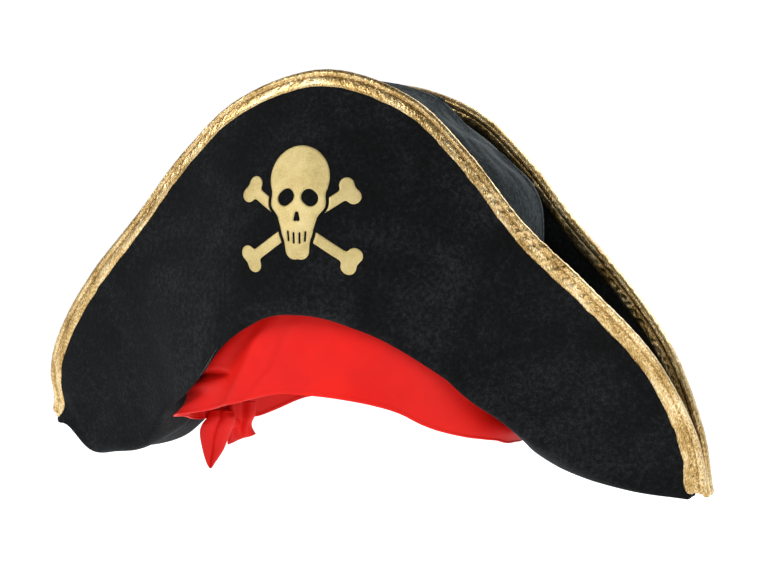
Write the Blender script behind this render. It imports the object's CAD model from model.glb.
import math

import bmesh
import bpy
import numpy as np
from mathutils import Matrix, Vector


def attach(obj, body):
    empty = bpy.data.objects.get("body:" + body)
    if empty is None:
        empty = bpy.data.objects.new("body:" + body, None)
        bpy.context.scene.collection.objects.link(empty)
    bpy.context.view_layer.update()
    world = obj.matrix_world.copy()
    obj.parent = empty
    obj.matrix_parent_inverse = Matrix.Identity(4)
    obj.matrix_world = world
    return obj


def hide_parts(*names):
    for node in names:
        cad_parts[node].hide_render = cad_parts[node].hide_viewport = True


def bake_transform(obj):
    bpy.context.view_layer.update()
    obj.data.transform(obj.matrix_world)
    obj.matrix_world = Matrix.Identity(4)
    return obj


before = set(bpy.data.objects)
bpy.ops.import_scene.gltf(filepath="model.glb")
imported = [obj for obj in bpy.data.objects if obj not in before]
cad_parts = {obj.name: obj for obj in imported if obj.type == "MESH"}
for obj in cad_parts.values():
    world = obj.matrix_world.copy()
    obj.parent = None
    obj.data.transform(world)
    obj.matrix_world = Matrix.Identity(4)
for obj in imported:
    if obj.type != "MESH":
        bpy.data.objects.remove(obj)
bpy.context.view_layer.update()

MM = 0.001
FRONT = -1
BACK = 1

# ---- Driving sizes of the hat, in millimetres, as the CAD model has them ----
HEAD_A = 105.0
HEAD_B = 82.0
SEAM_FRONT_Z = 76.0
SEAM_SIDE_Z = 8.0
BRIM_HALF = 216.0
PEAK_Z = 205.0
TIP_Z = -34.0
CURL_UP = 13.0
PLY = 0.7
FOAM = 2.2
BRIM_T = FOAM + 2 * PLY
CROWN_T = 1.2
TRIM_W = 10.0
SCARF_T = 1.0
SWEAT_W = 22.0
SWEAT_T = 1.0
SWEAT_DROP = 4.0
EMBLEM_W = 72.0
BONE_DROP = 12.0
EMBLEM_Z = 130.0
KNOT_PHI = -105.0
# How far the horn's bottom seam stops short of the flap's tip
SEAM_SHORT = 12.0
# The left horn's curl lifts its top edge by this multiple of CURL_UP
TOP_LIFT = 1.9

# ---- Details that only this model has, or has more of than the CAD model ----
# The same lift at the left horn's lower corner
CORNER_LIFT = 1.55
# The most of a flap's height that the binding covers; it is reached at the tips
BAND_SHARE = 0.93
# How much lower the back flap's peak is than the front one's, in millimetres
BACK_DROP = 4.0

# Guide curves of one quarter of the brim, from its middle (0) to its tip (1)
EDGE_X = [[0, 0], [0.15, 0.24], [0.3, 0.41], [0.43, 0.555], [0.57, 0.722], [0.72, 0.87],
          [0.86, 0.966], [1, 1]]
EDGE_Z = [[0, 1], [0.15, 0.935], [0.3, 0.8], [0.43, 0.643], [0.57, 0.494], [0.72, 0.338],
          [0.86, 0.163], [1, 0.02]]
EDGE_Y = [[0, 50], [0.3, 53], [0.43, 52], [0.57, 41], [0.72, 24], [0.86, 11], [1, 6.5]]
FOLD_X = [[0, 0], [0.5, 106], [0.7, 150], [1, 206]]
FOLD_Y = [[0, 93], [0.2, 86], [0.4, 63], [0.5, 46], [0.6, 30], [0.8, 13], [1, 6.5]]
FOLD_Z = [[0, 73], [0.15, 69], [0.3, 52], [0.45, 18], [0.6, -10], [0.8, -22], [1, -31]]
# Along the fold the left side hangs lower and the right side higher
LEFT_SAG = [[0, -2], [0.1, -1], [0.2, -5], [0.3, -14], [0.37, -12], [0.45, -2], [0.52, -1],
            [0.62, -5], [0.8, 0], [1, 0]]
RIGHT_LIFT = [[0, -2], [0.1, 0], [0.2, 5], [0.3, 6], [0.4, 4], [0.5, 6], [0.62, 6], [0.76, 2],
              [0.88, 0], [1, 0]]
SEAM_X = [[0.5, 0], [0.55, 0.02], [0.6, 0.09], [0.7, 0.3], [1, 1]]
SEAM_Z = [[0.5, 1], [0.55, 0.78], [0.6, 0.54], [0.7, 0.27], [0.85, 0.07], [1, 0]]
# Crown: reach to the side, reach to the front, height at the front and height at the side
CROWN_X = [[0, 105], [0.25, 113], [0.5, 114], [0.75, 92], [0.88, 73], [1, 54]]
CROWN_Y = [[0, 82], [0.25, 79], [0.5, 69], [0.75, 42], [1, 0]]
CROWN_FRONT_Z = [[0, 76], [0.25, 112], [0.5, 152], [0.75, 185], [1, 203]]
CROWN_SIDE_Z = [[0, 8], [0.25, 76], [0.5, 129], [0.75, 157], [0.88, 171], [1, 192]]
# Scarf: height of the lower edge and how far it flares out, by the angle from the brow
SCARF_LOW = [[-180, 7], [-146, 4], [-124, -9], [-100, -8], [-61, 0.5], [-28, 12], [-8, 21], [8, 21],
             [26, 16], [46, 3], [70, -5], [95, -8], [140, 0], [180, 7]]
SCARF_FLARE = [[-180, 0], [-105, 0], [-85, 0], [-75, 2], [-63, 9], [-50, 8], [-35, 2], [0, 0],
               [180, 0]]


# ---- Curves and vectors; every function takes whole arrays ----
def curve(keys, at, first=0.0):
    """A smooth curve through a few [position, value] keys, with its slope at the first key."""
    x, y = np.array(keys, float).T
    slopes = np.empty(len(x))
    slopes[0] = first
    slopes[1:-1] = (y[2:] - y[:-2]) / (x[2:] - x[:-2])
    slopes[-1] = (y[-1] - y[-2]) / (x[-1] - x[-2])
    at = np.asarray(at, float)
    i = np.clip(np.searchsorted(x, at) - 1, 0, len(x) - 2)
    h = x[i + 1] - x[i]
    s = (at - x[i]) / h
    rise = (3 * s ** 2 - 2 * s ** 3) * (y[i + 1] - y[i])
    return y[i] + rise + h * ((s ** 3 - 2 * s ** 2 + s) * slopes[i] + (s ** 3 - s ** 2) * slopes[i + 1])


def ease(x):
    s = np.clip(x, 0, 1)
    return s * s * (3 - 2 * s)


def bump(x, centre, width):
    """A round bump of height 1 at centre."""
    return np.exp(-((x - centre) / width) ** 2)


def norm(a):
    return np.linalg.norm(a, axis=-1, keepdims=True)


def unit(a):
    return a / np.maximum(norm(a), 1e-12)


def stack(*parts):
    return np.stack(np.broadcast_arrays(*parts), axis=-1).astype(float)


def bezier(a, b, c, d, s):
    return (1 - s) ** 3 * a + 3 * s * (1 - s) ** 2 * b + 3 * s ** 2 * (1 - s) * c + s ** 3 * d


def smooth_noise(x, y, seed, cells=64):
    """Repeatable value noise from -1 to 1, with one cell per unit of x and y."""
    values = np.random.default_rng(seed).uniform(-1, 1, (cells, cells))
    x, y = np.broadcast_arrays(np.asarray(x, float), np.asarray(y, float))
    i, j = np.floor(x).astype(int), np.floor(y).astype(int)
    s, r = ease(x - i), ease(y - j)
    i0, i1, j0, j1 = i % cells, (i + 1) % cells, j % cells, (j + 1) % cells
    low = values[i0, j0] * (1 - s) + values[i1, j0] * s
    high = values[i0, j1] * (1 - s) + values[i1, j1] * s
    return low * (1 - r) + high * r


def sin_d(a):
    return np.sin(np.radians(a))


def cos_d(a):
    return np.cos(np.radians(a))


# ---- The brim's outer face: t runs from horn to horn, v to 1 round the fold and to 2 up the flap ----
def edge_point(t):
    height = TIP_Z + (PEAK_Z - TIP_Z) * curve(EDGE_Z, t)
    return stack(BRIM_HALF * curve(EDGE_X, t, 1.6), -curve(EDGE_Y, t), height)


def fold_point(t):
    return stack(curve(FOLD_X, t, 195), -curve(FOLD_Y, t), curve(FOLD_Z, t))


def seam_height(phi):
    return SEAM_SIDE_Z + (SEAM_FRONT_Z - SEAM_SIDE_Z) * cos_d(phi) ** 2


def seam_point(t):
    """The brim's inner boundary: round the head opening, then out along the horn's bottom seam."""
    phi = 180 * t
    ring = stack(HEAD_A * sin_d(phi), -HEAD_B * cos_d(phi), seam_height(phi))
    reach = HEAD_A + (BRIM_HALF - SEAM_SHORT - HEAD_A) * curve(SEAM_X, t)
    horn = stack(reach, np.zeros_like(t), TIP_Z + (SEAM_SIDE_Z - TIP_Z) * curve(SEAM_Z, t))
    return np.where((t <= 0.5)[..., None], ring, horn)


def brim_face(t, v):
    """One curve down from the seam round the fold, and one from the fold up to the edge."""
    t, v = np.broadcast_arrays(np.asarray(t, float), np.asarray(v, float))
    a = np.abs(t)
    seam, fold, edge = seam_point(a), fold_point(a), edge_point(a)
    turn = np.radians(90 * ease(a / 0.45))
    heading = stack(0 * turn, -np.sin(turn), -np.cos(turn))
    up = unit(stack(0 * a, -0.25 * (1 - a), 1.0))
    rise, round_fold = norm(edge - fold), norm(fold - seam)
    lean = edge - fold
    lean[..., 1] += 0.14 * rise[..., 0]
    w = v[..., None]
    lower = bezier(seam, seam + heading * np.minimum(0.3 * round_fold + 5, 0.75 * round_fold),
                   fold - up * np.minimum(0.55 * round_fold, 12), fold, w)
    upper = bezier(fold, fold + up * rise * 0.42, edge - unit(lean) * rise * 0.3, edge, w - 1)
    point = np.where(w <= 1, lower, upper)
    point[..., 0] *= np.sign(t)
    end, top = CURL_UP * ease((-t - 0.72) / 0.28), ease(v - 1)
    corner = CURL_UP * ease((-t - 0.84) / 0.16)
    at_fold = ease(v / 0.85) * (1 - ease((v - 1.1) / 0.6))
    hang = np.where(t < 0, curve(LEFT_SAG, a), curve(RIGHT_LIFT, a))
    point[..., 0] += end * (0.4 + 0.6 * top)
    point[..., 2] += TOP_LIFT * end * top + CORNER_LIFT * corner * (1 - top) + at_fold * hang
    return point


def brim_normal(t, v):
    """The outward normal; on the horn's bottom seam it stays on the seam's plane."""
    t, v = np.broadcast_arrays(np.asarray(t, float), np.asarray(v, float))
    d = 0.03
    along = brim_face(np.minimum(t + d, 1), v) - brim_face(np.maximum(t - d, -1), v)
    across = brim_face(t, np.minimum(v + d, 2)) - brim_face(t, np.maximum(v - d, 0))
    normal = np.cross(along, across)
    on_seam = (v == 0) & (np.abs(t) >= 0.5)
    normal[..., 1] = np.where(on_seam, 0, normal[..., 1])
    return unit(normal)


def band_v(t):
    """Where the binding's inner edge lies on the flap."""
    a = np.abs(t)
    return 2 - np.minimum(TRIM_W / norm(edge_point(a) - fold_point(a))[..., 0], BAND_SHARE)


def flap_wave(side, t, v):
    """The gentle waves of a flap, in millimetres along its outward normal."""
    body = np.sin(np.pi * np.clip(v - 1, 0, 1)) ** 0.8
    shift = 1.7 if side == FRONT else 4.1
    wave = 0.8 * np.sin(5.2 * t + 2.1 * v + shift) + 0.6 * np.sin(11.3 * t - 3.4 * v + 2 * shift)
    wave += 0.35 * smooth_noise(9 * t + 30, 3.2 * v, 11 if side == FRONT else 12)
    near_fold = bump(v, 1.05, 0.35) * 0.5 * smooth_noise(14 * t + 40, 2 * v, 21 if side == FRONT else 22)
    return (wave * body + near_fold) * ease(v / 0.5)


def flap_point(side, t, v, depth):
    """A point at a depth under a flap's outer face; the plies are pressed thin at the left fold."""
    squeeze = 1 - 0.85 * bump(t, -0.34, 0.14) * bump(v, 0.7, 0.5)
    lift = np.asarray(flap_wave(side, t, v) - depth * squeeze)[..., None]
    point = brim_face(t, v) + lift * brim_normal(t, v)
    if side == BACK:
        point[..., 2] -= BACK_DROP * bump(t, 0, 0.17) * ease(v - 1)
    return turned(side, point)


def turned(side, vectors):
    """The back flap is the front one, mirrored."""
    if side == BACK:
        vectors[..., 1] *= -1
    return vectors


# ---- The crown: s runs up the panel, phi from the brow to the side ----
def crown_surface(phi, s):
    phi, s = np.broadcast_arrays(np.asarray(phi, float), np.asarray(s, float))
    x, y = curve(CROWN_X, s, 30), curve(CROWN_Y, s, -5)
    front, side = curve(CROWN_FRONT_Z, s, 140), curve(CROWN_SIDE_Z, s, 260)
    return stack(x * sin_d(phi), -y * cos_d(phi), front + (side - front) * sin_d(phi) ** 2)


def ring_point(phi, z, inset, flare=0.0):
    """A point on the oval round the head opening, pushed in by inset and out by flare."""
    return stack((HEAD_A - inset + flare) * sin_d(phi), -(HEAD_B - inset + flare) * cos_d(phi), z)


def wrapped(phi):
    return np.mod(np.asarray(phi, float) + 180, 360) - 180


# ---- Meshes ----
def mesh_object(name, points, faces, look, uv=None):
    """A smooth-shaded object from points in millimetres; uv holds a pair in metres for each point."""
    mesh = bpy.data.meshes.new(name)
    mesh.from_pydata((np.asarray(points) * MM).tolist(), [], faces)
    build = bmesh.new()
    build.from_mesh(mesh)
    bmesh.ops.recalc_face_normals(build, faces=build.faces)
    build.to_mesh(mesh)
    build.free()
    mesh.polygons.foreach_set("use_smooth", np.ones(len(mesh.polygons), bool))
    if uv is not None:
        corner = np.zeros(len(mesh.loops), np.int32)
        mesh.loops.foreach_get("vertex_index", corner)
        layer = mesh.uv_layers.new(name="cloth")
        layer.data.foreach_set("uv", np.asarray(uv)[corner].astype(np.float32).ravel())
    mesh.materials.append(look)
    piece = bpy.data.objects.new(name, mesh)
    bpy.context.scene.collection.objects.link(piece)
    return piece


def quads(rows, cols, base=0, wrap=False):
    """The faces of a grid of points; wrap joins the last column to the first."""
    i, j = np.meshgrid(np.arange(rows - 1), np.arange(cols if wrap else cols - 1), indexing="ij")
    a, b = base + i * cols + j, base + i * cols + (j + 1) % cols
    return np.stack([a, b, b + cols, a + cols], -1).reshape(-1, 4).tolist()


def rim(rows, cols):
    """The faces that close the four sides between two grids, the second stored after the first."""
    top, side = np.arange(cols), np.arange(rows) * cols
    loop = np.concatenate([top, side[1:] + cols - 1, (rows - 1) * cols + top[-2::-1], side[-2:0:-1]])
    after = np.roll(loop, -1)
    shift = rows * cols
    return np.stack([loop, after, after + shift, loop + shift], -1).tolist()


def grid_uv(grid):
    """Lengths along and across a grid of points, in metres."""
    along = np.cumsum(np.linalg.norm(np.diff(grid, axis=1, prepend=grid[:, :1]), axis=-1), axis=1)
    across = np.cumsum(np.linalg.norm(np.diff(grid, axis=0, prepend=grid[:1]), axis=-1), axis=0)
    middle = grid.shape[1] // 2
    return np.stack([along - along[:, middle:middle + 1], across], -1) * MM


def shell(name, outer, inner, look):
    """A closed sheet of cloth between two grids of points."""
    rows, cols = outer.shape[:2]
    faces = quads(rows, cols) + quads(rows, cols, rows * cols) + rim(rows, cols)
    uv = grid_uv(outer).reshape(-1, 2)
    points = np.concatenate([outer.reshape(-1, 3), inner.reshape(-1, 3)])
    return mesh_object(name, points, faces, look, np.concatenate([uv, uv]))


def threads(name, colour, paths, radius, *nodes):
    """Round threads along paths of points, with pinched ends."""
    points, faces = [], []
    sides = 7
    turn = np.linspace(0, 2 * np.pi, sides, endpoint=False)
    for path in paths:
        path = np.asarray(path, float)
        way = unit(np.gradient(path, axis=0))
        side = unit(np.cross(way, [0.21, 0.35, 0.91]))
        up = np.cross(way, side)
        share = np.linspace(0, 1, len(path))
        r = radius * np.sqrt(np.clip(1 - (2 * share - 1) ** 6, 0.06, 1))[:, None, None]
        round_path = side[:, None] * np.cos(turn)[:, None] + up[:, None] * np.sin(turn)[:, None]
        ring = path[:, None] + r * round_path
        base = len(points)
        count = len(path) * sides
        faces += quads(len(path), sides, base, wrap=True)
        faces += [list(range(base, base + sides)), list(range(base + count - sides, base + count))]
        points.extend(ring.reshape(-1, 3))
    place(mesh_object(name, points, faces, thread_looks[colour]), f"{colour}_thread", *nodes)


def stitch_row(line, lift, pitch=3.4, length=2.5, arch=0.3):
    """Paths of the stitches along a line of points; lift holds the outward direction at each point."""
    reach = np.concatenate([[0], np.cumsum(np.linalg.norm(np.diff(line, axis=0), axis=1))])
    paths = []
    for start in np.arange(0.5 * pitch, reach[-1] - pitch, pitch):
        at = np.linspace(start, start + length, 6)
        where = np.stack([np.interp(at, reach, line[:, k]) for k in range(3)], -1)
        up = np.stack([np.interp(at, reach, lift[:, k]) for k in range(3)], -1)
        paths.append(where + up * (arch * np.sin(np.linspace(0, np.pi, 6)) - 0.12)[:, None])
    return paths


# ---- Brim: on each side a velour face, a foam sheet and a lining, all on the same waves ----
STATIONS = np.linspace(-1, 1, 241)
BRIM_ROWS = np.concatenate([np.linspace(0, 1, 16), np.linspace(1, 2, 46)[1:]])
TIP_TURNS = np.radians([22.5, 45, 67.5, 90])


def tip_frame(side, end, v):
    """At a horn's end: points half way through the brim, the outward normal and the way out of the tip."""
    middle = flap_point(side, end, v, BRIM_T / 2)
    normal = turned(side, brim_normal(end, v))
    out = unit(middle - flap_point(side, end * 0.985, v, BRIM_T / 2))
    return middle, normal, out


def turn_at_tips(side, grid, v, offset, bulge):
    """Turns the grid over each horn's end; offset is the distance from mid-depth."""
    ends = []
    for end, column in ((-1, 0), (1, -1)):
        middle, normal, out = tip_frame(side, end, v[:, column])
        q = offset[:, column, None]
        ends.append([middle + bulge[:, column] + normal * q * np.cos(a) + out * np.abs(q) * np.sin(a)
                     for a in TIP_TURNS])
    left, right = np.stack(ends[0][::-1], axis=1), np.stack(ends[1], axis=1)
    return np.concatenate([left, grid, right], axis=1)


def brim_sheet(side, depth, over_tips=True):
    v = BRIM_ROWS[:, None] + 0 * STATIONS
    grid = flap_point(side, STATIONS + 0 * v, v, depth)
    return turn_at_tips(side, grid, v, BRIM_T / 2 - depth + 0 * v, 0 * grid) if over_tips else grid


def brim_pieces(side, word):
    node = f"brim_{word}"
    face = shell(f"{word}_flap_velour", brim_sheet(side, 0), brim_sheet(side, PLY), velour)
    foam_top, foam_bottom = brim_sheet(side, PLY, False), brim_sheet(side, PLY + FOAM, False)
    foam_sheet = shell(f"{word}_flap_foam", foam_top, foam_bottom, foam)
    lining = shell(f"{word}_flap_lining", brim_sheet(side, PLY + FOAM), brim_sheet(side, BRIM_T), velour)
    for piece, part, slot in ((face, "face", "brim_velour"), (foam_sheet, "foam", "foam"),
                              (lining, "lining", "brim_velour")):
        place(piece, slot, f"{node}_{part}")


# ---- Binding: a strip of metallic cloth folded over the flap's edge and stitched through ----
BINDING_STATIONS = 760
# Rows down each face, and rows round the edge between the faces
BINDING_FACE = 28
BINDING_ROUND = 9
# How far it stands off the velour, by the distance from the edge
BINDING_HEIGHT = [[0, 1.4], [1.5, 1.55], [2.4, 1.1], [3.1, 0.3], [3.9, 0.8], [6, 1.1], [8.6, 0.95],
                  [9.9, 0.4], [10.3, 0.05]]
GROOVE = 3.1
BINDING_REACH = 10.3
INNER_HEIGHT = 0.03
LEAST_HEIGHT = 0.08
THREAD_HEIGHT = 0.45
GOLD_THREAD_R = 0.24


def even_stations(side):
    """Stations at even lengths along the flap's edge, with those lengths in millimetres."""
    t = np.linspace(-1, 1, 2401)
    edge = flap_point(side, t, 2 + 0 * t, BRIM_T / 2)
    reach = np.concatenate([[0], np.cumsum(np.linalg.norm(np.diff(edge, axis=0), axis=1))])
    lengths = np.linspace(0, reach[-1], BINDING_STATIONS)
    return np.interp(lengths, reach, t), lengths


def pucker(side, length, e, t):
    """The small ripples that stitching pulls into the binding, strongest beside the groove."""
    seed = 31 if side == FRONT else 41
    slant = length + 0.9 * e
    phase = 2.2 * smooth_noise(length / 17, 0 * e, seed)
    ripple = 0.5 * np.sin(2 * np.pi * slant / 7.1 + phase)
    ripple += 0.3 * np.sin(2 * np.pi * slant / 4.3 - 2 * phase)
    ripple += 0.7 * smooth_noise(slant / 3.6, e / 3.4 + 9, seed + 1)
    strength = 0.13 + 0.3 * bump(t, 0.5, 0.16) + 0.1 * np.abs(smooth_noise(length / 41, 0 * e, seed + 2))
    across = 0.35 + 0.9 * bump(e, 5.4, 2.6) + 0.5 * bump(e, 1.2, 1.3)
    return ripple * strength * across


def binding_surface(side, t, length, e, wrap, height):
    """Points of the binding: e is the distance from the edge, wrap turns from face (0) to lining (pi)."""
    over = wrap[:, None] + 0 * t
    e_grid = e[:, None] + 0 * t
    scallop = 0.45 * smooth_noise(length / 6.5, 0 * length + 5, 51) * ease((e_grid - 6.5) / 3)
    v = 2 - (2 - band_v(t)) * np.maximum(e_grid + scallop, 0) / TRIM_W
    t_grid = t + 0 * v
    normal = turned(side, brim_normal(t_grid, v))
    reach = BRIM_T / 2 + height
    edge_out = turned(side, unit(brim_face(t, 2 + 0 * t) - brim_face(t, 1.9 + 0 * t)))
    bulge = edge_out * (np.sin(over) * (0.35 * reach + 0.55 * height))[..., None]
    offset = reach * np.cos(over)
    grid = flap_point(side, t_grid, v, BRIM_T / 2) + bulge + normal * offset[..., None]
    return grid, v, offset, bulge, normal


def binding_layer(side, lift):
    t, length = even_stations(side)
    down = np.linspace(BINDING_REACH, 0, BINDING_FACE)
    e = np.concatenate([down, np.zeros(BINDING_ROUND), down[::-1]])
    over_edge = np.linspace(0, np.pi, BINDING_ROUND + 2)[1:-1]
    wrap = np.concatenate([0 * down, over_edge, 0 * down + np.pi])
    height = INNER_HEIGHT + 0 * (e[:, None] + length)
    if lift:
        height = curve(BINDING_HEIGHT, e)[:, None] + pucker(side, length, e[:, None], t)
        height = np.maximum(height, LEAST_HEIGHT)
    grid, v, offset, bulge, _ = binding_surface(side, t, length, e, wrap, height)
    return turn_at_tips(side, grid, v, offset, bulge)


def binding_stitches(side):
    t, length = even_stations(side)
    paths = []
    for wrap in (0.0, np.pi):
        height = THREAD_HEIGHT + 0 * length[None, :]
        turn = np.array([wrap])
        grid, _, _, _, normal = binding_surface(side, t, length, np.array([GROOVE]), turn, height)
        paths += stitch_row(grid[0], normal[0] * math.cos(wrap))
    return paths


def binding_pieces(side, word):
    strip = shell(f"{word}_binding", binding_layer(side, True), binding_layer(side, False), lame)
    place(strip, "gold_binding", f"{word}_trim")
    threads(f"{word}_binding_stitches", "gold", binding_stitches(side), GOLD_THREAD_R)


# ---- Emblem: a generic skull over crossed bones, printed in raised foil on the front flap ----
# Outlines are in millimetres from the emblem's centre
EMBLEM_CELL = 0.5
EMBLEM_LIFT = 0.4
EMBLEM_EDGE = 0.12
EMBLEM_ROOT = 0.1
EMBLEM_SLANT = 0.12
BONE_TURN = 33
# The gap between the skull and the bones behind it
BONE_GAP = 1.8


def disc(p, centre, radius):
    return np.hypot(p[..., 0] - centre[0], p[..., 1] - centre[1]) - radius


def bar(p, a, b, radius):
    """Distance to a straight stroke with round ends."""
    a, b = np.array(a, float), np.array(b, float)
    share = np.clip(((p - a) @ (b - a)) / ((b - a) @ (b - a)), 0, 1)
    return np.linalg.norm(p - a - share[..., None] * (b - a), axis=-1) - radius


def melt(a, b, soft):
    """The union of two outlines with a soft corner between them."""
    h = np.clip(0.5 + 0.5 * (b - a) / soft, 0, 1)
    return b + (a - b) * h - soft * h * (1 - h)


def bone_outline(p, turn):
    c, s = math.cos(math.radians(turn)), math.sin(math.radians(turn))
    x, y = p[..., 0], p[..., 1] + BONE_DROP
    q = np.stack([x * c + y * s, -x * s + y * c], -1)
    shape = bar(q, (-EMBLEM_W / 2, 0), (EMBLEM_W / 2, 0), 3.1)
    for end in (-1, 1):
        for lobe in (-1, 1):
            shape = melt(shape, disc(q, (end * EMBLEM_W / 2, lobe * 3.9), 4.2), 2.2)
    return shape


def skull_outline(p):
    q = np.stack([np.abs(p[..., 0]), p[..., 1]], -1)
    shape = melt(disc(p, (0, 14.5), 18.3), disc(q, (10.8, 0.5), 6), 4)
    shape = melt(shape, bar(q, (8.6, -5), (5.4, -15), 4), 3)
    shape = melt(shape, bar(p, (0, -2), (0, -18), 6), 2)
    return melt(shape, bar(q, (2.8, -18), (1.8, -26), 5.2), 3)


def skull_holes(p):
    q = np.stack([np.abs(p[..., 0]), p[..., 1]], -1)
    eye = bar(q, (6.6, 4.1), (8.0, 3.0), 4.4)
    nose = bar(q, (0.9, -8.8), (0.1, -5.4), 1.0)
    teeth = np.minimum(bar(q, (1.8, -16.5), (1.7, -21.8), 0.6), bar(q, (5.3, -15.8), (4.9, -20.6), 0.6))
    return np.minimum(np.minimum(eye, nose), teeth)


def emblem_outline(p):
    """Distance to the print's outline, negative inside."""
    skull = skull_outline(p)
    bones = np.minimum(bone_outline(p, BONE_TURN), bone_outline(p, -BONE_TURN))
    bones = np.maximum(bones, BONE_GAP - skull)
    return np.maximum(np.minimum(bones, skull), -skull_holes(p))


def on_front_face(x, z):
    """The (t, v) of the front face at given x and z, found by Newton steps."""
    t, v = 0.0035 * x, 1 + (z - 70) / 130
    d = 1e-4
    for _ in range(12):
        at = brim_face(t, v)
        dt, dv = (brim_face(t + d, v) - at) / d, (brim_face(t, v + d) - at) / d
        ex, ez = x - at[..., 0], z - at[..., 2]
        det = dt[..., 0] * dv[..., 2] - dv[..., 0] * dt[..., 2]
        t = t + (ex * dv[..., 2] - ez * dv[..., 0]) / det
        v = np.clip(v + (ez * dt[..., 0] - ex * dt[..., 2]) / det, 1, 2)
    return t, v


def emblem_piece():
    """A grid of cells inside the outline, with its border points moved onto the outline."""
    half = EMBLEM_W / 2 + 8
    count = int(2 * half / EMBLEM_CELL)
    axis = np.linspace(-half, half, count + 1)
    p = np.stack(np.meshgrid(axis, axis, indexing="ij"), -1).reshape(-1, 2)
    cells = np.array(quads(count + 1, count + 1))
    cells = cells[emblem_outline(p[cells].mean(1)) < 0]
    edges = np.sort(np.concatenate([cells[:, [k, (k + 1) % 4]] for k in range(4)]), axis=1)
    pairs, uses = np.unique(edges, axis=0, return_counts=True)
    border = np.unique(pairs[uses == 1])
    d = 0.02
    for _ in range(3):
        at = p[border]
        value = emblem_outline(at)
        slope = np.stack([emblem_outline(at + [d, 0]) - value, emblem_outline(at + [0, d]) - value], -1) / d
        step = value[:, None] * slope / np.maximum((slope ** 2).sum(-1, keepdims=True), 0.2)
        p[border] = at - np.clip(step, -0.5 * EMBLEM_CELL, 0.5 * EMBLEM_CELL)
    used, cells = np.unique(cells, return_inverse=True)
    cells = cells.reshape(-1, 4)
    t, v = on_front_face(p[used, 0] - EMBLEM_SLANT * p[used, 1], p[used, 1] + EMBLEM_Z)
    inside = ease(-emblem_outline(p[used]) / 0.7)
    top = flap_point(FRONT, t, v, -(EMBLEM_EDGE + (EMBLEM_LIFT - EMBLEM_EDGE) * inside))
    bottom = flap_point(FRONT, t, v, EMBLEM_ROOT)
    shift = len(used)
    lookup = np.full(len(p), -1)
    lookup[used] = np.arange(shift)
    side = lookup[pairs[uses == 1]]
    walls = np.stack([side[:, 0], side[:, 1], side[:, 1] + shift, side[:, 0] + shift], -1)
    faces = cells.tolist() + (cells + shift)[:, ::-1].tolist() + walls.tolist()
    piece = mesh_object("skull_print", np.concatenate([top, bottom]), faces, foil)
    place(piece, "gold_print", "skull_emblem")


# ---- Crown: a front and a back panel of soft cloth, seamed from ear to ear over the top ----
CROWN_PHI = 90 * np.sin(np.radians(np.linspace(-90, 90, 181)))
CROWN_S = 1 - (1 - np.linspace(0, 1, 90)) ** 1.6
# How far the panels reach down under the brim's seam, and the topstitching's distance from theirs
LAP = 4.0
SEAM_STITCH = 3.2
BLACK_THREAD_R = 0.25


def crown_relief(side, phi, s, off_seam):
    """The crown's dents and wrinkles and the ridges of its stitched seam, in millimetres outwards."""
    seed = 61 if side == FRONT else 71
    soft = 1.5 * smooth_noise(phi / 26 + 8, 3.1 * s, seed) + 0.7 * smooth_noise(phi / 9 + 20, 8 * s, seed + 1)
    wrinkle = 0.5 * smooth_noise(phi / 4 + 9 * s + 30, 12 * s - phi / 30 + 9, seed + 2)
    wrinkle *= ease((s - 0.35) / 0.4)
    seam = -1.1 * bump(off_seam, 0, 1.4) + 0.55 * bump(off_seam, SEAM_STITCH, 2.2)
    groove = -0.5 * bump(off_seam, SEAM_STITCH, 0.55)
    return (soft + wrinkle) * ease(s / 0.25) * (0.25 + 0.75 * ease(off_seam / 14)) + seam + groove


def crown_normal(phi, s):
    """The outward normal; on the seam from side to side it stays on the seam's plane."""
    d = 0.5
    along = crown_surface(phi + d, s) - crown_surface(phi - d, s)
    up = crown_surface(phi, s + 0.01) - crown_surface(phi, np.maximum(s - 0.01, 0))
    normal = unit(np.cross(along, up))
    top = unit(stack(0.5 * sin_d(phi), 0 * phi, 1 + 0 * phi))
    normal = np.where((s > 0.999)[..., None], top, normal)
    normal[..., 1] = np.where(np.abs(phi) > 89.99, 0, normal[..., 1])
    return unit(normal)


def crown_point(side, phi, s, depth):
    phi, s = np.broadcast_arrays(np.asarray(phi, float), np.asarray(s, float))
    point = crown_surface(phi, s)
    lift = crown_relief(side, phi, s, np.abs(point[..., 1])) - depth
    return turned(side, point + lift[..., None] * crown_normal(phi, s))


def crown_sheet(side, depth):
    grid = crown_point(side, CROWN_PHI[None, :], CROWN_S[:, None], depth)
    base = grid[:1] - [0, 0, LAP]
    return np.concatenate([base, grid])


def crown_pieces(side, word):
    panel = shell(f"crown_{word}_cloth", crown_sheet(side, 0), crown_sheet(side, CROWN_T), brushed)
    place(panel, "crown_cloth", f"crown_{word}_panel")


def seam_line(side):
    """The line of the topstitching beside the crown's seam, from the left over the top to the right."""
    s = np.linspace(0.02, 0.985, 160)
    depth = curve(CROWN_Y, s, -5)
    phi = 90 - np.degrees(np.arcsin(np.clip(SEAM_STITCH / np.maximum(depth, SEAM_STITCH), 0, 1)))
    right = crown_point(side, phi, s, -0.15)
    left = crown_point(side, -phi, s, -0.15)
    return np.concatenate([left, right[::-1]]), np.concatenate([
        turned(side, crown_normal(-phi, s)), turned(side, crown_normal(phi, s))[::-1]])


def crown_stitches():
    paths = []
    for side in (FRONT, BACK):
        line, lift = seam_line(side)
        paths += stitch_row(line, lift, pitch=3.8, length=3.0, arch=0.2)
    threads("crown_seam_stitches", "black", paths, BLACK_THREAD_R)


# ---- Scarf: a band of satin knit round the head opening, with a knot and two tails at its left ----
SCARF_PHI = np.linspace(KNOT_PHI + 0.6, KNOT_PHI + 359.4, 801)
SCARF_ROWS = np.concatenate([np.linspace(0, 0.9, 56), np.linspace(0.9, 1, 12)[1:]])


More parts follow.
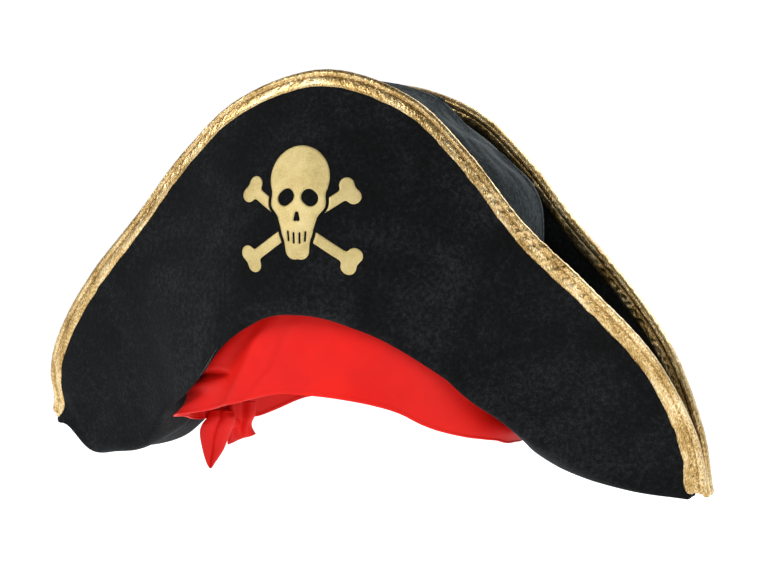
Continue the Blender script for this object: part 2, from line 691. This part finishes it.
def scarf_relief(phi, w):
    """How far the cloth's folds stand out from the band, in millimetres; w runs from the seam to the hem."""
    fold = -15.5 - 17.6 * (w - 0.375)
    relief = (3.2 * bump(phi, fold, 4.4) - 1.6 * bump(phi, fold - 11, 6.5)) * ease((w - 0.1) / 0.35)
    next_fold = -5 - 15 * (w - 0.45) - 20 * np.maximum(w - 0.7, 0)
    relief += 1.4 * bump(phi, next_fold, 3.2) * ease((w - 0.15) / 0.3)
    relief += 2.2 * bump(phi, -38, 8) * bump(w, 0.3, 0.14)
    tuck = 0.47 + 0.014 * (phi + 40)
    relief -= 3.2 * bump(w, tuck, 0.045) * ease((-27 - phi) / 10) * ease((phi + 62) / 10)
    relief += 1.5 * bump(w, tuck + 0.14, 0.09) * ease((-30 - phi) / 12) * ease((phi + 66) / 8)
    long_folds = 0.7 * np.sin((phi - 20) / 13 + 6 * w)
    long_folds += 0.6 * smooth_noise(phi / 19 + 9, 2.2 * w + 3, 81)
    relief += long_folds * (1 - 0.6 * bump(phi, -20, 22))
    from_knot = np.abs(wrapped(phi - KNOT_PHI))
    pleats = 1.7 * np.cos(2 * np.pi * from_knot / 4.6) * (1 - ease((from_knot - 4) / 16))
    return (relief * (1 - 0.7 * (1 - ease(from_knot / 14))) + pleats) * ease(w / 0.22)


def scarf_point(phi, w, inset):
    turn = wrapped(phi)
    top = seam_height(phi)
    hem = curve(SCARF_LOW, turn) + 0.6 * smooth_noise(phi / 8, 0 * phi + 2, 82)
    corner = 0.9 * bump(turn, -61, 6) * w ** 4
    flare = curve(SCARF_FLARE, turn) * w ** 2.2 + corner + scarf_relief(turn, w)
    return ring_point(phi, top + (hem - top) * w, CROWN_T + inset, flare)


def scarf_band():
    phi, w = np.broadcast_arrays(SCARF_PHI[None, :], SCARF_ROWS[:, None])
    hem = 0.35 * bump(w, 0.975, 0.022)
    grid_out, grid_in = scarf_point(phi, w, -hem), scarf_point(phi, w, SCARF_T + hem)
    band = shell("scarf_band_cloth", grid_out, grid_in, satin)
    place(band, "scarf_satin", "scarf_band")


# Where the tails leave the knot; the directions across a tail and out of its face
LONG_AT = np.array([-97.5, 15.0, -9.0])
SHORT_AT = np.array([-90.5, 37.0, -9.0])
TAIL_TURN = math.radians(25)
TAIL_WAY = np.array([math.cos(TAIL_TURN), math.sin(TAIL_TURN), 0.0])
TAIL_FRONT = np.array([math.sin(TAIL_TURN), -math.cos(TAIL_TURN), 0.0])


def closed_ring_grid(name, grid, look):
    """A closed solid from rings of points, with flat ends."""
    rows, cols = grid.shape[:2]
    last = (rows - 1) * cols
    faces = quads(rows, cols, wrap=True) + [list(range(cols)), list(range(last, last + cols))]
    return mesh_object(name, grid.reshape(-1, 3), faces, look, grid_uv(grid).reshape(-1, 2))


def scarf_knot():
    """The knot's lump and the turn of cloth round its middle."""
    along = unit(SHORT_AT - LONG_AT)
    across = unit(np.cross(along, [0, 0, 1]))
    up = np.cross(across, along)
    middle = (LONG_AT + SHORT_AT) / 2 - 2.5 * TAIL_FRONT
    half = np.linalg.norm(SHORT_AT - LONG_AT) / 2 + 5
    a = np.sin(np.linspace(-0.5, 0.5, 90) * np.pi * 0.995)[:, None]
    turn = np.linspace(0, 2 * np.pi, 121)[:-1][None, :]
    creases = 1 + 0.12 * np.abs(np.sin(2.5 * turn + 2.2 * a + 0.6)) ** 0.7
    girth = 5.0 * np.sqrt(1 - a ** 2) ** 0.8 * creases
    girth = girth * (1 - 0.22 * bump(a, 0, 0.28))
    lump = middle + a[..., None] * half * along + (girth * np.cos(turn))[..., None] * across
    lump = lump + (girth * np.sin(turn))[..., None] * up
    core = closed_ring_grid("scarf_knot_cloth", lump, satin)
    turn = np.linspace(0, 2 * np.pi, 161)[:-1][:, None]
    b = np.linspace(0, 2 * np.pi, 61)[:-1][None, :]
    folds = 1 + 0.22 * np.abs(np.sin(2 * b + 0.5 * np.sin(turn)))
    out = 4.6 + 1.3 * np.cos(b) * folds
    side = 5.2 * np.sin(b) * folds + 1.4 * np.sin(turn + 0.6)
    ring = middle + (out * np.cos(turn))[..., None] * across + (out * np.sin(turn))[..., None] * up
    ring = ring + side[..., None] * along
    rows, cols = ring.shape[:2]
    faces = (np.array(quads(rows + 1, cols, wrap=True)) % (rows * cols)).tolist()
    wrap = mesh_object("scarf_knot_turn", ring.reshape(-1, 3), faces, satin, grid_uv(ring).reshape(-1, 2))
    place(core, "scarf_satin", "scarf_knot")
    place(wrap, "scarf_satin")


# Each tail: how far down, then its left edge, right edge and how far it stands forward of the pivot
LONG_TAIL = [[0, -6, 8.6, 5], [0.12, -7.6, 9.8, 6.2], [0.23, -10.6, 9.3, 5.6], [0.34, -12.1, 7.6, 4],
             [0.47, -12.1, 5.8, 2.6], [0.58, -11.4, 4.3, 1.6], [0.69, -10.5, 2.6, 1], [0.82, -9.2, -0.4, 0.5],
             [0.91, -8, -2.6, 0.2], [0.97, -6.9, -4, 0], [1, -6, -4.9, 0]]
SHORT_TAIL = [[0, -10, 7, 12.5], [0.4, -10.4, 6.6, 11.5], [0.65, -10.6, 4.6, 8.5],
              [0.82, -10.8, 5, 6.5], [1, -10.8, 7.2, 5]]


def tail_grid(at, keys, top, bottom, slant, pleat, thickness):
    """Front and back surfaces of a tail; its lower edge slants across the width, and pleat is its relief."""
    keys = np.array(keys)
    q = np.linspace(0, 1, 70)[:, None]
    c = np.linspace(-1, 1, 61)[None, :]
    left, right, forward = (curve(keys[:, [0, k]], q, keys[1, k] - keys[0, k]) for k in (1, 2, 3))
    u = left + (right - left) * (c + 1) / 2
    z = top + (bottom + slant * c - top) * q
    relief = pleat(c, q)
    across = u[..., None] * TAIL_WAY
    base = np.array([at[0], at[1], 0.0]) + across + z[..., None] * np.array([0, 0, 1.0])
    edge = 0.35 + 0.65 * np.sqrt(np.clip(1 - np.abs(c) ** 8, 0, 1))
    front = base + (forward + relief + 0.5 * thickness * edge)[..., None] * TAIL_FRONT
    back = base + (forward + 0.35 * relief - 0.5 * thickness * edge)[..., None] * TAIL_FRONT
    return front, back


def long_pleat(c, q):
    halves = np.abs(np.sin(np.pi * np.abs(c) ** 0.9)) ** 0.75
    uneven = np.where(c < 0, 0.85, 1.0)
    return 2.5 * halves * (1 - 0.75 * q ** 3) * uneven + 0.3 * np.sin(5 * q + 2 * c)


def short_pleat(c, q):
    return (1.2 + 1.3 * q) * np.cos(2 * np.pi * (c - 0.68) / 1.45)


def scarf_tail(word, grids):
    """A tail that stays with the knot at its top and swings freely below blend_end."""
    piece = shell(f"scarf_{word}_cloth", *grids, satin)
    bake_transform(piece)
    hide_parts(f"scarf_{word}")


def scarf_tails():
    grids = tail_grid(LONG_AT, LONG_TAIL, -1.5, -38.9, 0, long_pleat, 1.4)
    scarf_tail("long_tail", grids)
    grids = tail_grid(SHORT_AT, SHORT_TAIL, 3, -22, 3.4, short_pleat, 1.2)
    scarf_tail("short_tail", grids)


# ---- Sweatband: a ribbed tape inside the head opening ----
RIB = 2.6
SWEAT_STITCH = 0.14


def sweatband():
    phi = np.linspace(-179.5, 179.5, 1401)[None, :]
    up = np.linspace(0, 1, 21)[:, None]
    z = seam_height(phi) - SWEAT_DROP + SWEAT_W * up
    arc = np.radians(phi) * (HEAD_A + HEAD_B) / 2
    hem = 0.35 * (bump(up, 0.05, 0.05) + bump(up, 0.95, 0.05))
    rib = 0.16 * np.cos(2 * np.pi * arc / RIB) * ease(up / 0.15) * ease((1 - up) / 0.15)
    inset = CROWN_T + SCARF_T
    outer = ring_point(phi, z, inset + 0.05 + 0 * z)
    inner = ring_point(phi, z, inset + SWEAT_T - 0.15 + hem + rib)
    tape = shell("sweatband_tape", outer, inner, ribbed)
    place(tape, "sweatband_cloth", "sweatband")
    row = np.linspace(-179, 179, 700)
    line = ring_point(row, seam_height(row) - SWEAT_DROP + SWEAT_STITCH * SWEAT_W, inset + SWEAT_T)
    lift = unit(ring_point(row, 0 * row, 0) * -1.0)
    paths = stitch_row(line, lift, pitch=4.2, length=3.2, arch=0.25)
    threads("sweatband_stitches", "black", paths, BLACK_THREAD_R)


# ---- Thread tacks: twisted strands from each flap to the crown, and between the horns' bindings ----
TACK_T = 0.3
TACK_V = 1.3
TACK_PHI = 42
TACK_S = 0.3
HORN_TACK_T = 0.95
HORN_TACK_V = 1.97
TACK_STRANDS = 4
TACK_SPREAD = 0.45
TACK_R = 0.32


def twisted(start, end):
    """Strands that twist round each other between two points."""
    way = unit(end - start)
    side = unit(np.cross(way, [0.3, 0.1, 0.95]))
    up = np.cross(way, side)
    share = np.linspace(-0.04, 1.04, 24)[:, None]
    paths = []
    for k in range(TACK_STRANDS):
        turn = 2 * np.pi * (k / TACK_STRANDS + 1.6 * share)
        aside = TACK_SPREAD * (np.cos(turn) * side + np.sin(turn) * up)
        paths.append(start + (end - start) * share + aside)
    return paths


def tacks():
    for side, word in ((FRONT, "front"), (BACK, "back")):
        paths = []
        for end in (-1, 1):
            start = flap_point(side, end * TACK_T, TACK_V, BRIM_T)
            stop = crown_point(side, end * TACK_PHI, TACK_S, 0)
            paths += twisted(start, stop)
        threads(f"{word}_flap_tack_threads", "black", paths, TACK_R, f"{word}_flap_tacks")
    for end, word in ((-1, "left"), (1, "right")):
        start = flap_point(FRONT, end * HORN_TACK_T, HORN_TACK_V, BRIM_T + 0.8)
        stop = start * [1, -1, 1]
        paths = twisted(start, stop)
        threads(f"{word}_horn_tack_threads", "gold", paths, TACK_R, f"{word}_horn_tack")


def place(piece, slot, *nodes):
    """Makes a piece ride on the hat, take a finish and stand for its CAD nodes."""
    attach(piece, "hat")
    if nodes:
        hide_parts(*nodes)


# ---- Materials ----
def new_node(tree, kind, inputs=(), **settings):
    """A new node; each input is a value or a socket to link."""
    made = tree.nodes.new(kind)
    for key, value in settings.items():
        setattr(made, key, value)
    for key, value in dict(inputs).items():
        if isinstance(value, bpy.types.NodeSocket):
            tree.links.new(value, made.inputs[key])
        else:
            made.inputs[key].default_value = value
    return made


class Look:
    """A procedural material, built up node by node on a Principled shader."""

    def __init__(self, name, **values):
        self.material = bpy.data.materials.new(name)
        self.material.use_nodes = True
        self.tree = self.material.node_tree
        self.shader = self.tree.nodes["Principled BSDF"]
        for key, value in values.items():
            self.shader.inputs[key.replace("_", " ")].default_value = value

    def node(self, kind, inputs=(), **settings):
        return new_node(self.tree, kind, inputs, **settings)

    def coords(self, stretch=(1, 1, 1), uv=False):
        """Coordinates in metres: along the cloth, or in the object's space."""
        source = self.node("ShaderNodeTexCoord").outputs["UV" if uv else "Object"]
        mapping = self.node("ShaderNodeMapping", {"Vector": source, "Scale": stretch})
        return mapping.outputs["Vector"]

    def noise(self, where, scale, detail=2.0, rough=0.5, distortion=0.0):
        made = self.node("ShaderNodeTexNoise", {"Vector": where, "Scale": scale, "Detail": detail,
                                                "Roughness": rough, "Distortion": distortion})
        return made.outputs["Fac"]

    def waves(self, where, scale, distortion, direction):
        made = self.node("ShaderNodeTexWave", {"Vector": where, "Scale": scale, "Distortion": distortion,
                                               "Detail": 1.0}, bands_direction=direction)
        return made.outputs["Fac"]

    def maths(self, operation, a, b):
        return self.node("ShaderNodeMath", {0: a, 1: b}, operation=operation).outputs[0]

    def mix(self, a, b, share):
        """A share of one value plus the rest of the other."""
        return self.maths("ADD", self.maths("MULTIPLY", a, share), self.maths("MULTIPLY", b, 1 - share))

    def ramp(self, factor, *stops):
        """Colours at positions along a factor."""
        made = self.node("ShaderNodeValToRGB", {"Fac": factor})
        elements = made.color_ramp.elements
        while len(elements) < len(stops):
            elements.new(0.5)
        for element, (position, colour) in zip(elements, stops):
            element.position = position
            element.color = (*colour, 1)
        return made.outputs["Color"]

    def span(self, factor, low, high):
        made = self.node("ShaderNodeMapRange", {"Value": factor, "To Min": low, "To Max": high})
        return made.outputs["Result"]

    def relief(self, height, strength, distance, under=None):
        inputs = {"Height": height, "Strength": strength, "Distance": distance}
        if under is not None:
            inputs["Normal"] = under
        return self.node("ShaderNodeBump", inputs).outputs["Normal"]

    def use(self, **sockets):
        for key, value in sockets.items():
            self.tree.links.new(value, self.shader.inputs[key.replace("_", " ")])
        return self.material


# Noise scales are cycles per metre; relief distances are metres
def velour_look():
    look = Look("velour", Roughness=0.95, Sheen_Weight=0.06, Sheen_Roughness=0.45,
                Sheen_Tint=(0.62, 0.72, 0.8, 1), Specular_IOR_Level=0.12)
    where = look.coords()
    pile = look.noise(where, 1500, 3, 0.7)
    tufts = look.noise(where, 420, 2, 0.6)
    brushed_zones = look.noise(where, 22, 3, 0.55, 0.6)
    mottle = look.mix(pile, tufts, 0.55)
    shade = look.maths("MULTIPLY", mottle, look.span(brushed_zones, 0.6, 1.4))
    colour = look.ramp(shade, (0.32, (0.001, 0.0011, 0.0012)), (0.5, (0.004, 0.0044, 0.0048)),
                       (0.68, (0.017, 0.0183, 0.0198)))
    soft = look.relief(tufts, 0.35, 0.0006)
    fine = look.relief(pile, 0.6, 0.0003, soft)
    return look.use(Base_Color=colour, Normal=fine)


def brushed_look():
    look = Look("brushed_cloth", Roughness=0.92, Sheen_Weight=0.2, Sheen_Roughness=0.4,
                Sheen_Tint=(0.7, 0.8, 0.85, 1), Specular_IOR_Level=0.15)
    where = look.coords()
    fibres = look.noise(look.coords((1.0, 1.0, 0.3)), 900, 3, 0.7, 0.8)
    fuzz = look.noise(where, 260, 3, 0.65, 1.2)
    zones = look.noise(where, 30, 2, 0.5)
    mottle = look.mix(fibres, fuzz, 0.5)
    shade = look.maths("MULTIPLY", mottle, look.span(zones, 0.75, 1.25))
    colour = look.ramp(shade, (0.32, (0.007, 0.009, 0.01)), (0.5, (0.026, 0.033, 0.035)),
                       (0.68, (0.07, 0.085, 0.09)))
    soft = look.relief(fuzz, 0.5, 0.0008)
    fine = look.relief(fibres, 0.5, 0.0003, soft)
    return look.use(Base_Color=colour, Normal=fine)


def lame_look():
    look = Look("gold_lame", Metallic=1.0)
    grain = look.noise(look.coords(uv=True), 900, 3, 0.65)
    crinkle = look.noise(look.coords((1, 0.6, 1), uv=True), 260, 3, 0.6, 0.4)
    worn = look.noise(look.coords((1, 2.5, 1), uv=True), 45, 2, 0.5)
    shade = look.mix(grain, worn, 0.6)
    colour = look.ramp(shade, (0.38, (0.2, 0.11, 0.028)), (0.5, (0.58, 0.39, 0.15)),
                       (0.6, (0.93, 0.77, 0.47)))
    rough = look.span(crinkle, 0.22, 0.42)
    soft = look.relief(crinkle, 0.7, 0.0012)
    fine = look.relief(grain, 0.55, 0.0004, soft)
    return look.use(Base_Color=colour, Roughness=rough, Normal=fine)


def foil_look():
    look = Look("foil_print", Metallic=0.35, Roughness=0.5, Specular_IOR_Level=0.4)
    where = look.coords()
    grain = look.noise(where, 1100, 3, 0.7)
    patches = look.noise(where, 90, 3, 0.6)
    shade = look.mix(grain, patches, 0.5)
    colour = look.ramp(shade, (0.3, (0.42, 0.31, 0.11)), (0.5, (0.6, 0.475, 0.2)),
                       (0.7, (0.7, 0.585, 0.29)))
    return look.use(Base_Color=colour, Normal=look.relief(grain, 0.5, 0.0003))


def satin_look():
    look = Look("scarf_satin", Sheen_Weight=0.1, Sheen_Roughness=0.35,
                Sheen_Tint=(1, 0.3, 0.25, 1), Specular_IOR_Level=0.2)
    knit = look.waves(look.coords(uv=True), 420, 0.6, "X")
    rows = look.waves(look.coords(uv=True), 380, 0.4, "Y")
    loops = look.maths("MULTIPLY", knit, rows)
    tone = look.noise(look.coords(), 35, 3, 0.5)
    colour = look.ramp(tone, (0.3, (0.66, 0.0045, 0.002)), (0.7, (0.78, 0.0075, 0.003)))
    return look.use(Base_Color=colour, Roughness=look.span(tone, 0.44, 0.56),
                    Normal=look.relief(loops, 0.25, 0.0002))


def ribbed_look():
    look = Look("ribbed_tape", Roughness=0.8, Sheen_Weight=0.1)
    weave = look.waves(look.coords(uv=True), 500, 0.5, "Y")
    tone = look.noise(look.coords(), 400, 2, 0.6)
    colour = look.ramp(tone, (0.3, (0.012, 0.012, 0.014)), (0.7, (0.032, 0.032, 0.035)))
    return look.use(Base_Color=colour, Normal=look.relief(weave, 0.5, 0.0003))


def grainy_look(name, scale, dark, light, depth, **values):
    look = Look(name, **values)
    grain = look.noise(look.coords(), scale, 2, 0.6)
    return look.use(Base_Color=look.ramp(grain, (0.35, dark), (0.65, light)),
                    Normal=look.relief(grain, 0.6, depth))


velour = velour_look()
brushed = brushed_look()
lame = lame_look()
foil = foil_look()
satin = satin_look()
ribbed = ribbed_look()
foam = grainy_look("foam_sheet", 900, (0.1, 0.1, 0.105), (0.26, 0.26, 0.27), 0.0004, Roughness=0.9)
thread_looks = {
    "black": grainy_look("black_thread", 1600, (0.006, 0.006, 0.007), (0.02, 0.02, 0.022), 0.0002,
                         Roughness=0.7),
    "gold": grainy_look("gold_thread", 1600, (0.32, 0.2, 0.06), (0.7, 0.5, 0.22), 0.0002,
                        Metallic=0.6, Roughness=0.45)}

# ---- The hat ----
for flap, flap_word in ((FRONT, "front"), (BACK, "back")):
    brim_pieces(flap, flap_word)
    binding_pieces(flap, flap_word)
    crown_pieces(flap, flap_word)
crown_stitches()
emblem_piece()
scarf_band()
scarf_knot()
scarf_tails()
sweatband()
tacks()

# ---- Floor, light and camera, in metres ----
FLOOR_Z = -0.16
FLOOR_HALF = 6.0
# The room's grey: axis, where the change starts and stops, and the shade before and after it
ROOM_SHADES = (("Y", -0.2, 0.6, 0.34, 1.02), ("Z", 0.3, 0.75, 1.0, 0.4))
# Each soft lamp: place, the point it faces, and power in watts
LAMPS = {"key": ((-0.9, -1.3, 1.1), (0, 0, 0.08), 17), "fill": ((1.3, -0.9, 0.5), (0, 0, 0.08), 6),
         "back": ((0.4, 1.2, 1.0), (0, 0, 0.1), 8)}
LAMP_SIZE = 0.8
# The camera: its direction from the target, the target, its distance and its lens
CAMERA_AZIMUTH, CAMERA_ELEVATION, CAMERA_ROLL = np.radians([21.56, 3.18, 0.75]).tolist()
CAMERA_TARGET = Vector((0.01316, 0.00520, 0.08027))
CAMERA_DISTANCE = 1.2229
CAMERA_LENS = 96.62
CAMERA_SENSOR = 36


def floor():
    mesh = bpy.data.meshes.new("floor")
    corners = [(x * FLOOR_HALF, y * FLOOR_HALF, FLOOR_Z) for x, y in ((-1, -1), (1, -1), (1, 1), (-1, 1))]
    mesh.from_pydata(corners, [], [(0, 1, 2, 3)])
    look = Look("pale_floor", Base_Color=(0.92, 0.92, 0.92, 1), Roughness=0.9,
                Emission_Color=(1, 1, 1, 1), Emission_Strength=0.66)
    mesh.materials.append(look.material)
    plane = bpy.data.objects.new("floor", mesh)
    bpy.context.scene.collection.objects.link(plane)


def soft_lamp(name, at, aim, power):
    data = bpy.data.lights.new(name, "AREA")
    data.energy = power
    data.size = LAMP_SIZE
    lamp = bpy.data.objects.new(name, data)
    lamp.location = at
    lamp.rotation_mode = "QUATERNION"
    lamp.rotation_quaternion = (Vector(aim) - Vector(at)).to_track_quat("-Z", "Y")
    bpy.context.scene.collection.objects.link(lamp)


def studio():
    """A pale room: white behind the hat, greyer in front of it and overhead, with large soft lamps."""
    world = bpy.data.worlds.new("studio")
    world.use_nodes = True
    tree = world.node_tree
    direction = new_node(tree, "ShaderNodeTexCoord").outputs["Generated"]
    split = new_node(tree, "ShaderNodeSeparateXYZ", {0: direction})
    shades = {}
    for k, (axis, start, stop, first, last) in enumerate(ROOM_SHADES):
        limits = {"Value": split.outputs[axis], "From Min": start, "From Max": stop,
                  "To Min": first, "To Max": last}
        shade = new_node(tree, "ShaderNodeMapRange", limits, interpolation_type="SMOOTHSTEP")
        shades[k] = shade.outputs["Result"]
    product = new_node(tree, "ShaderNodeMath", shades, operation="MULTIPLY")
    background = tree.nodes["Background"]
    background.inputs["Strength"].default_value = 1.0
    tree.links.new(product.outputs[0], background.inputs["Color"])
    bpy.context.scene.world = world
    for name, (at, aim, power) in LAMPS.items():
        soft_lamp(name, at, aim, power)


def camera():
    level = math.cos(CAMERA_ELEVATION)
    back = Vector((math.sin(CAMERA_AZIMUTH) * level, -math.cos(CAMERA_AZIMUTH) * level,
                   math.sin(CAMERA_ELEVATION)))
    right = Vector((math.cos(CAMERA_AZIMUTH), math.sin(CAMERA_AZIMUTH), 0))
    up = back.cross(right)
    x_axis = math.cos(CAMERA_ROLL) * right + math.sin(CAMERA_ROLL) * up
    y_axis = math.cos(CAMERA_ROLL) * up - math.sin(CAMERA_ROLL) * right
    data = bpy.data.cameras.new("camera")
    data.lens = CAMERA_LENS
    data.sensor_width = CAMERA_SENSOR
    data.clip_start, data.clip_end = 0.05, 50
    eye = bpy.data.objects.new("camera", data)
    turn = Matrix((x_axis, y_axis, back)).transposed().to_4x4()
    eye.matrix_world = Matrix.Translation(CAMERA_TARGET + back * CAMERA_DISTANCE) @ turn
    bpy.context.scene.collection.objects.link(eye)
    bpy.context.scene.camera = eye


floor()
studio()
camera()
bpy.context.scene.view_settings.view_transform = "Standard"
